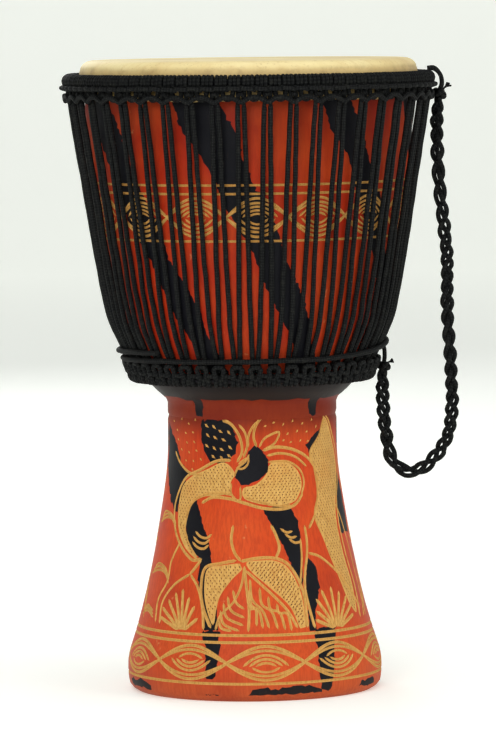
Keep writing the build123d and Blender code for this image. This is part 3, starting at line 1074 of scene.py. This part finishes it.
def carve(work):
    """The outer side of the shell as a mesh: V-shaped cuts, and a finish for each face."""
    edge = work.edge
    vertices, edges = [], []
    work.carry_round()

    def run(points, closed=False):
        first = len(vertices)
        vertices.extend(points)
        edges.extend((first + i, first + i + 1) for i in range(len(points) - 1))
        if closed:
            edges.append((len(vertices) - 1, first))

    rows = round((work.high - work.low) / GRID)
    across = [-edge + 2 * edge * i / COLUMNS for i in range(COLUMNS + 1)]
    up = [work.low + (work.high - work.low) * i / rows for i in range(rows + 1)]
    for z in (work.low, work.high):
        run([Vector((x, z)) for x in across])
    for x in (-edge, edge):
        run([Vector((x, z)) for z in up])

    samples = []
    for points, width, depth, taper, finish in work.cuts:
        last = len(points) - 1
        for index in range(last):
            a, b = points[index], points[index + 1]
            ends = (0.0 if taper and index == 0 else 1.0, 0.0 if taper and index + 1 == last else 1.0)
            count = max(1, math.ceil((b - a).length / CUT_SAMPLE))
            for i in range(count):
                samples.append((a.lerp(b, (i + 0.5) / count), a, b, ends, width, depth, finish))
    near = KDTree(len(samples))
    for index, sample in enumerate(samples):
        near.insert((sample[0].x, sample[0].y, 0), index)
    near.balance()
    for points, width, depth, taper, _ in work.cuts:
        run(points)
        for side in cut_edges(points, width, taper):
            run(side)
    for outline, _ in work.patches:
        run(outline, closed=True)

    for row in range(1, rows):
        for column in range(1, COLUMNS):
            if (row + column) % 2:
                continue
            place = Vector((across[column], up[row]))
            if near.find((place.x, place.y, 0))[2] > CLEAR_OF_CUTS:
                vertices.append(place)

    found, _, faces, *_ = geometry.delaunay_2d_cdt([Vector((v.x, v.y)) for v in vertices], edges, [], 0, 1e-4)

    def depth_at(place):
        deepest, cut = 0.0, "cut"
        for _, index, _ in near.find_range((place.x, place.y, 0), CUT_REACH):
            _, a, b, ends, width, depth, finish = samples[index]
            side = b - a
            share = max(0.0, min(1.0, (place - a).dot(side) / max(side.length_squared, 1e-9)))
            scale = ends[0] + (ends[1] - ends[0]) * share
            half = width / 2 * max(scale, 0.05)
            away = (place - a - side * share).length
            here = depth * min(1.0, 0.15 + scale) * (1 - away / half)
            if here > deepest:
                deepest, cut = here, finish
        return deepest, cut

    def hollow_at(place):
        for box, outline in hollows:
            if boxed(place, box) and inside(place, outline):
                return HOLLOW * min(1.0, clearance(place, outline) / 0.8)
        return 0.0

    patches = [(extent(outline), outline, finish) for outline, finish in work.patches]
    hollows = [(extent(outline), outline) for outline in work.hollows]
    depths = [depth_at(v)[0] + hollow_at(v) for v in found]
    kept, finishes = [], []
    for face in faces:
        corners = [found[i] for i in face]
        middle = sum(corners, Vector((0, 0))) / len(corners)
        if abs(middle.x) > edge or not work.low < middle.y < work.high:
            continue
        finish = "red"
        for box, outline, other in patches:
            if boxed(middle, box) and inside(middle, outline):
                finish = other
        deep, cut = depth_at(middle)
        if deep > 0.1:
            finish = cut
        kept.append(list(face))
        finishes.append(finish)
    solid = []
    for place, depth in zip(found, depths):
        angle = place.x / work.reach
        height = place.y
        wave = noise.noise(Vector((math.cos(angle) * 3, math.sin(angle) * 3, height * 0.02))) * 0.25
        edge_share = min(1.0, (work.high - height) / 8, (height - work.low) / 8)
        if edge_share < 0.002:             # a stroke stops at the border, where the turned rows begin
            depth = 0.0
        radius = OUTER(height) - depth + wave * max(0.0, edge_share)
        if abs(height - NECK) < 1.0:
            radius -= NECK_GROOVE
        solid.append(at_angle(radius * MM, angle + FRONT, height * MM))
    return solid, kept, finishes


def stitch(mesh, reach=6e-5):
    """Weld the sheet's border to what meets it, splitting each open edge where a cut ends on it."""
    sheet = bmesh.new()
    sheet.from_mesh(mesh)
    bmesh.ops.remove_doubles(sheet, verts=sheet.verts, dist=WELD)
    border = [edge for edge in sheet.edges if edge.is_boundary]
    ends = {vertex for edge in border for vertex in edge.verts}
    for edge in border:
        start, stop = edge.verts
        along = stop.co - start.co
        on_it = []
        for vertex in ends - {start, stop}:
            share = (vertex.co - start.co).dot(along) / along.length_squared
            if 0 < share < 1 and (start.co + along * share - vertex.co).length < reach:
                on_it.append((share, vertex.co.copy()))
        for _, place in sorted(on_it, key=lambda found: -found[0]):
            made = bmesh.utils.edge_split(edge, stop, 0.5)[1]
            made.co = place
            edge = next(link for link in start.link_edges if made in link.verts)
            stop = made
    bmesh.ops.remove_doubles(sheet, verts=sheet.verts, dist=WELD)
    sheet.to_mesh(mesh)
    sheet.free()


def close_shell(name, work, profile):
    """The carved outside closed by a turned rim, inside wall and foot, which a profile gives."""
    vertices, faces, finishes = carve(work)
    start = len(vertices)
    border = [(OUTER(height) - (NECK_GROOVE if height == NECK else 0), height) for height in (work.high,
                                                                                              work.low)]
    rows = [border[0], *profile, border[1]]
    for radius, height in rows:
        for column in range(COLUMNS):
            angle = -math.pi + 2 * math.pi * column / COLUMNS
            vertices.append(at_angle(radius * MM, angle + FRONT, height * MM))
    for row in range(len(rows) - 1):
        near_outside = min(radius for radius, _ in rows[row:row + 2]) > 107 and rows[row][1] < 7
        for column in range(COLUMNS):
            a = start + row * COLUMNS + column
            b = start + row * COLUMNS + (column + 1) % COLUMNS
            faces.append([a, b, b + COLUMNS, a + COLUMNS])
            finishes.append("red" if near_outside else "bare")
    mesh = new_mesh(name, vertices, [], faces, *(FINISHES[finish] for finish in PAINT_ORDER))
    mesh.polygons.foreach_set("material_index", [PAINT_ORDER.index(finish) for finish in finishes])
    stitch(mesh)
    recalculate(mesh)
    mesh.shade_smooth()
    mesh.set_sharp_from_angle(angle=math.radians(SHARP_EDGE))
    add_piece(new_object(name, mesh), "drum", "carved_wood", "shell")


# ---------------------------------------------------------------- what is carved and painted
def half_turn(degrees):
    """The same direction as an angle within half a turn of the front."""
    return (math.radians(degrees) + math.pi) % (2 * math.pi) - math.pi


def wave(work, middle, swing, count, phase, points):
    """A wavy stroke all round, with so many points to each of its waves."""
    line = []
    total = count * points
    for step in range(-1, total + 2):
        angle = -math.pi + 2 * math.pi * step / total
        line.append(work.flat(angle, middle + swing * math.cos(count * angle + phase)))
    return line


def nested_arches(work, angle, middle, half, rises, way, **kind):
    """Arches one inside the other; way is 1 for upright and -1 for turned over."""
    for number, rise in enumerate(rises):
        side = half * (1 - 0.8 * number / len(rises))
        shares = [step / 3 - 1 for step in range(7)]
        work.line([work.flat(angle + side * t, middle + way * rise * (1 - t * t)) for t in shares], **kind)


def carve_bowl(work):
    """The band of crossing waves high on the bowl, and the black brush strokes down its side."""
    for height in (485.0, 477.0, 433.0):
        work.ring(height, 2.2, 1.25)
    count, middle = 8, 455
    for phase in (math.radians(-21), math.radians(159)):
        work.line(wave(work, middle, 18.0, count, phase, 24), 2.4, 1.3, False, 3.0)
        work.line(wave(work, middle, 13.5, count, phase, 24), 2.2, 1.2, False, 3.0)
    for number in range(2 * count):
        angle = half_turn(2.6 + 180 / count * number)
        nested_arches(work, angle, middle, math.radians(7.4), (10.2, 6.8, 3.6), 1, width=2.0, depth=1.1)
        nested_arches(work, angle, middle - 1, math.radians(6.6), (9.0, 5.4), -1, width=2.0, depth=1.1)
    draw = random.Random(11)
    stripes = [(-59, 34, 0.46, 24), (-14.5, 42, 0.45, 24), (36, 30, 0.45, 22), (79, 34, 0.48, 22),
               (122, 38, 0.46, 24), (164, 34, 0.50, 22), (-150, 38, 0.45, 24), (-104, 36, 0.48, 22)]
    for middle, wide, slant, foot_wide in stripes:
        left, right = [], []
        for step in range(13):
            share = step / 12
            height = 584 - share * 288
            centre = math.radians(middle) * work.reach - (height - 537) * slant
            half = (wide + (foot_wide - wide) * share) / 2
            half *= 1 + 0.16 * math.sin(step * 1.9 + middle)
            left.append(Vector((centre - half + draw.uniform(-1.5, 1.5), height)))
            right.append(Vector((centre + half + draw.uniform(-1.5, 1.5), height)))
        work.patch(left + right[::-1], "black", 0.7)
    top = [Vector((work.edge * (-1 + 2 * i / 40), 306)) for i in range(41)]
    low = []
    for i in range(61):
        ripple = 3.2 * noise.noise(Vector((i * 0.7, 0.3, 0.0)))
        low.append(Vector((work.edge * (-1 + 2 * i / 60), 281 + ripple)))
    work.patch(top + low[::-1], "black", 0.0)
    for middle, wide in ((-150, 26), (-95, 18), (-38, 20), (45, 24), (100, 20), (150, 28)):
        centre = math.radians(middle) * work.reach
        points = [(-0.5, 286), (-0.45, 274), (-0.35, 265), (0.3, 264), (0.4, 272), (0.5, 286)]
        work.patch([Vector((centre + x * wide, z)) for x, z in points], "black", 0.5)


def horned_grazer(work, turn=0.0):
    """A horned grazing animal that looks back over its shoulder, beside a tree, with its young below."""
    def stroke(points, **kind):
        work.stroke(points, turn, **kind)

    def black(points, rough=0.5):
        work.front_patch(points, "black", rough, turn)

    # brushed black: shade behind the leaves, legs, and streaks that run down over the border
    black([(-47, 262), (-49, 246), (-46, 232), (-39, 220), (-23, 222), (-16, 230), (-14, 244), (-20, 259),
           (-29, 262)], 0.8)
    black([(-79, 258), (-72, 238), (-67, 217), (-60, 210), (-66, 196), (-72, 172), (-78, 180),
           (-81, 214)], 0.8)
    black([(50, 236), (58, 246), (66, 252), (62, 240), (54, 227)], 0.6)
    black([(80, 206), (84, 188), (90, 150), (83, 150), (79, 172), (78, 196)], 0.8)
    black([(-60, 182), (-53, 186), (-48, 166), (-42, 146), (-39, 126), (-37, 102), (-34, 66), (-49, 66),
           (-49, 93), (-53, 112), (-50, 130), (-61, 142), (-64, 162)])
    black([(8, 179), (33, 183), (42, 166), (45, 142), (46, 102), (39, 116), (29, 141), (18, 162)])
    black([(50, 134), (58, 123), (62, 104), (58, 84), (58, 64), (52, 64), (49, 94)], 0.6)
    black([(-50, 66), (-33, 66), (-34, 50), (-35, 36), (-38, 22), (-47, 22), (-46, 40)], 0.8)
    black([(56, 66), (76, 66), (75, 48), (74, 30), (72, 9), (62, 9), (60, 34)], 0.8)

    # pared and pricked areas
    work.pared([(-17, 212), (-27, 222), (-43, 215), (-57, 208), (-66, 198), (-70, 182), (-71, 161),
                (-66, 143), (-56, 132), (-52, 130), (-59, 141), (-64, 154), (-62, 169), (-57, 182),
                (-47, 189), (-31, 191), (-21, 194), (-21, 203)],
               3.7, 2.2, turn)
    work.pared([(17, 221), (32, 221), (42, 213), (46, 201), (43, 190), (36, 183), (13, 182), (-8, 188),
                (-9, 198), (2, 201), (12, 210)], 3.5, 0.6, turn)
    work.pared([(68, 262), (62, 244), (54, 229), (59, 213), (60, 188), (59, 169), (66, 149), (73, 130),
                (81, 111), (91, 84), (97, 76), (93, 102), (85, 131), (79, 160), (78, 182), (79, 214),
                (74, 245)], 3.6, 2.0, turn)
    work.pared([(-13, 128), (-31, 126), (-44, 122), (-47, 103), (-45, 86), (-39, 71), (-36, 84), (-32, 98),
                (-21, 113), (-11, 123)], 3.6, 1.9, turn)
    work.pared([(-7, 129), (8, 131), (21, 130), (33, 122), (44, 99), (48, 68), (43, 67), (33, 88),
                (13, 107), (-2, 120)],
               3.2, 0.9, turn, length=3.0)

    # bold chips for leaves, on black and on red
    for x, z, lean in ((-43, 256, 2.6), (-36, 255, 2.5), (-30, 251, 2.7), (-42, 247, 2.5), (-35, 245, 2.6),
                       (-27, 243, 2.7), (-22, 250, 2.4), (-43, 237, 2.6), (-36, 235, 2.5), (-29, 234, 2.7),
                       (-21, 236, 2.5), (-37, 227, 2.6), (-29, 226, 2.5), (-22, 228, 2.6)):
        work.nick(work.front(x, z, turn), lean, 6.6, 2.7, 1.2)
    for x, z in ((-74, 258), (-67, 261), (-60, 257), (-54, 261), (-71, 250), (-63, 248), (-56, 249),
                 (-70, 241), (-62, 239), (-55, 240), (-67, 232), (-60, 230), (-53, 232), (-63, 222),
                 (-56, 222), (-49, 224), (-57, 214), (12, 256), (20, 259), (29, 257), (38, 260), (47, 257),
                 (56, 260), (24, 250), (33, 248), (42, 250), (51, 249), (60, 253), (36, 240), (45, 241),
                 (52, 240), (29, 242)):
        lean = work.draw.uniform(2.3, 2.9) if x < 0 else work.draw.uniform(0.2, 0.9)
        work.nick(work.front(x, z, turn), lean, 4.0, 2.0, 0.9)

    # two pairs of horns, ear and head
    stroke([(-15, 222), (-10, 232), (-12, 246), (-20, 258), (-29, 262)], width=3.0, depth=1.5)
    stroke([(-9, 226), (-5, 238), (-7, 250), (-13, 258)], width=2.6, depth=1.3)
    stroke([(-4, 236), (-4, 246), (0, 255), (6, 261)], width=2.6, depth=1.3)
    stroke([(4, 236), (1, 246), (3, 256), (8, 263), (14, 264)], width=3.0, depth=1.5)
    stroke([(6, 236), (12, 245), (25, 250), (21, 240), (11, 234)], width=2.3)
    stroke([(12, 240), (19, 245)], width=1.8, depth=0.9)
    black([(-17, 208), (-14, 216), (-8, 222), (-4, 232), (2, 238), (9, 233), (15, 224), (14, 213),
           (6, 206), (-4, 201), (-11, 201)], 0.25)
    stroke([(-18, 208), (-14, 217), (-7, 223), (-3, 230)], width=2.4)
    stroke([(-16, 217), (-10, 216), (-5, 220), (-4, 226), (-9, 224), (-14, 220)], width=2.2)
    stroke([(-20, 203), (-21, 194), (-16, 187), (-12, 188), (-12, 200)], width=2.3)
    stroke([(-17, 200), (-17, 192)], width=1.8, depth=0.9)

    # the outline of the neck, back and belly
    stroke([(-73, 230), (-69, 220), (-60, 211), (-48, 209)])
    stroke([(-20, 224), (-34, 223), (-50, 214), (-62, 207), (-69, 195), (-74, 178), (-74, 158), (-68, 141),
            (-58, 130), (-50, 131), (-56, 122), (-61, 116)], width=3.0, depth=1.4)
    stroke([(-53, 131), (-60, 142), (-65, 155), (-64, 169), (-58, 183), (-47, 191), (-31, 193),
            (-19, 192)], width=2.8)
    stroke([(9, 233), (22, 236), (38, 233), (52, 224), (60, 210), (62, 195), (60, 176),
            (52, 158)], width=3.0, depth=1.4)
    stroke([(13, 228), (26, 230), (40, 226), (51, 216)], width=2.4)
    stroke([(-49, 183), (-38, 189), (-22, 188), (-8, 184), (10, 179), (28, 178), (40, 182),
            (47, 192)], width=3.0, depth=1.4)
    stroke([(-8, 189), (8, 184), (24, 181), (36, 181)], width=2.2)
    stroke([(14, 222), (32, 222), (44, 214), (48, 202), (45, 189)], width=2.4)

    # legs and fetlock tufts
    stroke([(-63, 172), (-65, 160), (-62, 148)], width=2.2)
    for x, z in ((-58, 147), (-57, 152), (-55, 157)):
        stroke([(x, z), (x + 5, z - 5), (x + 11, z - 6), (x + 16, z - 2)], width=2.4)
    stroke([(48, 162), (50, 148), (50, 134), (48, 118), (48, 102), (53, 80), (57, 66)], width=2.8)
    stroke([(44, 150), (45, 132), (44, 114), (43, 102)], width=2.2)
    for x, z in ((25, 160), (29, 155), (33, 150)):
        stroke([(x, z), (x + 6, z - 4), (x + 12, z - 3)], width=2.4)

    # the tree's sides
    stroke([(69, 264), (63, 245), (54, 229), (58, 213), (61, 190), (58, 170), (66, 149), (73, 130),
            (81, 110), (91, 84)],
           width=2.6, depth=1.3)
    stroke([(70, 264), (75, 246), (80, 216), (79, 184), (81, 160), (87, 131), (95, 102),
            (100, 76)], width=2.6, depth=1.3)
    stroke([(78, 178), (84, 160), (90, 138), (96, 112), (102, 86), (104, 70)], width=2.4)

    # the young one: horns, outline and two sprays of leaves
    stroke([(-12, 130), (-18, 138), (-21, 150), (-19, 164)], width=3.0, depth=1.3)
    stroke([(20, 131), (24, 142), (21, 154), (16, 164)], width=3.0, depth=1.3)
    stroke([(-16, 131), (-31, 128), (-46, 123), (-50, 104), (-48, 86), (-41, 68)], width=3.0, depth=1.4)
    stroke([(-13, 130), (4, 133), (22, 132), (35, 123), (46, 100), (50, 67)], width=3.0, depth=1.4)
    stroke([(-9, 126), (-7, 104), (-5, 84), (-6, 65)])
    stroke([(-9, 126), (-12, 108), (-20, 92), (-32, 80), (-37, 66)], width=2.2)
    for x0, z0, x1, z1 in ((-20, 104, -9, 86), (-25, 98, -9, 78), (-29, 92, -10, 71), (-32, 85, -14, 66),
                           (-34, 77, -21, 66)):
        stroke([(x0, z0), (x0 + 3, (z0 + z1) / 2 - 3), (x1, z1)], width=2.4)
    stroke([(-8, 122), (4, 111), (18, 98), (31, 84), (41, 67)])
    for x0, z0, x1, z1 in ((-4, 114, 14, 72), (-5, 104, 8, 72), (5, 106, 22, 71), (13, 98, 29, 70),
                           (21, 91, 35, 69), (-5, 94, 2, 74)):
        stroke([(x0, z0), (x0 + 2, (z0 + z1) / 2 + 2), ((x0 + x1) / 2 + 3, z1 + 12),
                (x1, z1 - 4)], width=2.4)

    # grass, hills and small arcs
    for centre, tips in ((-69, ((-89, 75), (-87, 84), (-81, 92), (-74, 99), (-67, 103), (-61, 96),
                                (-56, 88), (-53, 77))), (79, ((57, 74), (58, 82), (58, 93), (63, 101),
                                                              (72, 103), (80, 98), (87, 93),
                               (92, 85), (94, 75)))):
        for x, z in tips:
            stroke([(centre + (x - centre) * 0.15, 65), (centre + (x - centre) * 0.5, (65 + z) / 2 - 1),
                    (x, z)], width=3.2)
    for shift in (0, 5, 10):
        stroke([(-88 + shift * 0.2, 160 + shift * 0.6), (-83, 166 + shift * 0.6), (-77, 166 + shift * 0.4),
                (-73, 157 + shift * 0.5)], width=2.2)
        stroke([(-97 + shift * 0.3, 112 + shift * 0.6), (-90, 117 + shift * 0.6), (-84, 115 + shift * 0.5),
                (-81, 106 + shift * 0.5)], width=2.2)
        stroke([(-107 + shift * 0.3, 74 + shift * 0.5), (-101, 78 + shift * 0.5),
                (-96, 73 + shift * 0.6)], width=2.2)
    stroke([(-69, 146), (-78, 127), (-82, 108), (-91, 90), (-94, 69)])
    stroke([(-60, 117), (-76, 105), (-87, 88), (-90, 68)])
    stroke([(-60, 117), (-53, 105), (-49, 87), (-48, 66)])
    stroke([(51, 136), (64, 130), (82, 111), (96, 88), (101, 70)])


def between(work, turn):
    """Hills, grass and arcs that fill the sides between the animals."""
    def stroke(points, **kind):
        work.stroke(points, turn, **kind)

    for lift, reach in ((0, 30), (7, 25), (14, 20)):
        stroke([(-reach, 70 + lift), (-reach * 0.6, 98 + lift), (0, 114 + lift * 0.7),
                (reach * 0.6, 98 + lift),
                (reach, 70 + lift)])
    for x, z in ((-17, 146), (-12, 158), (-6, 167), (0, 171), (6, 167), (12, 158), (17, 146)):
        stroke([(x * 0.15, 128), (x * 0.5, 140), (x, z)], width=3.0)
    for z in (190, 199, 208):
        stroke([(-16, z), (-6, z + 7), (6, z + 7), (16, z)], width=2.4)
    work.front_patch([(-16, 254), (10, 256), (16, 246), (14, 228), (4, 222), (-10, 226),
                      (-16, 238)], "black", 0.9, turn)
    for x, z in ((-10, 232), (-4, 238), (5, 233), (9, 240), (-9, 246), (2, 249), (-2, 228)):
        work.nick(work.front(x, z, turn), 2.5, 6.6, 2.6, 1.2)


def carve_foot(work):
    """The scene, the border lines and the twisted band round the foot."""
    for height in (62.0, 55.5, 17.5):
        work.ring(height, 2.6, 1.2)
    count, middle = 5, 36.5
    for phase in (math.radians(-25), math.radians(155)):
        work.line(wave(work, middle, 15.5, count, phase, 30), 2.8, 1.35, False, 3.0)
        work.line(wave(work, middle, 11.6, count, phase, 30), 2.4, 1.2, False, 3.0)
    for number in range(2 * count):
        angle = half_turn(5 + 180 / count * number)
        way = 1 if number % 2 == 0 else -1
        nested_arches(work, angle, middle - way * 3, math.radians(10.5),
                      (10.5, 6.9, 3.4), way, width=2.3, depth=1.1)
        nested_arches(work, angle, middle - way * 3.5, math.radians(6.5),
                      (4.6,), -way, width=2.1, depth=1.0)
    for turn in (0.0, math.pi * 0.995):
        horned_grazer(work, turn)
    draw = random.Random(23)
    for angle, wide, top in ((-66, 38, 15), (-20, 10, 8), (14, 60, 14), (62, 26, 14), (100, 34, 12),
                             (150, 40, 14), (-130, 40, 13)):
        centre = math.radians(angle) * work.reach
        points = [(-0.5, 7), (-0.44, top - 3), (-0.3, top), (-0.16, top - 2), (0.1, top + 0.5),
                  (0.35, top - 1), (0.5, top - 5), (0.5, 7)]
        work.patch([Vector((centre + x * wide, z + draw.uniform(-0.8, 0.8))) for x, z in points], "black",
                   0.6)
    for angle in (92, -92):
        between(work, math.radians(angle))


# ---------------------------------------------------------------- making it
place_camera()
scene.view_settings.view_transform = "Standard"
place_floor()
place_lights()
make_handle()
make_rope_work()
bearing_edge = [(154.6, 594.3), (151.0, 597.3), (147.0, 598.4), (145.0, 598.3), (142.8, 596.2),
                (141.5, 592)]
bowl_inside = [(INNER(height), height) for height in range(580, 276, -12)] + [(THROAT, 271.5),
                                                                              (THROAT, NECK)]
bowl = Carving(NECK, 590.5, 140, 31)
carve_bowl(bowl)
close_shell("shell_bowl", bowl, bearing_edge + bowl_inside)
foot_inside = [(THROAT, NECK), (THROAT, 240), (THROAT, 220)]
foot_inside += [(INNER(height), height) for height in range(208, 4, -12)]
base = [(INNER(2), 0.8), (103, 0), (108, 0), (113, 0), (117, 2.5)]
foot = Carving(6.0, NECK, 100, 32)
carve_foot(foot)
close_shell("shell_foot", foot, foot_inside + base)
head = make_skin()
for name, finish in (("flesh_hoop", "steel"), ("crown_ring", "black"), ("lower_ring", "black")):
    slots = cad_node(name).data.materials
    slots.clear()
    slots.append(FINISHES[finish])
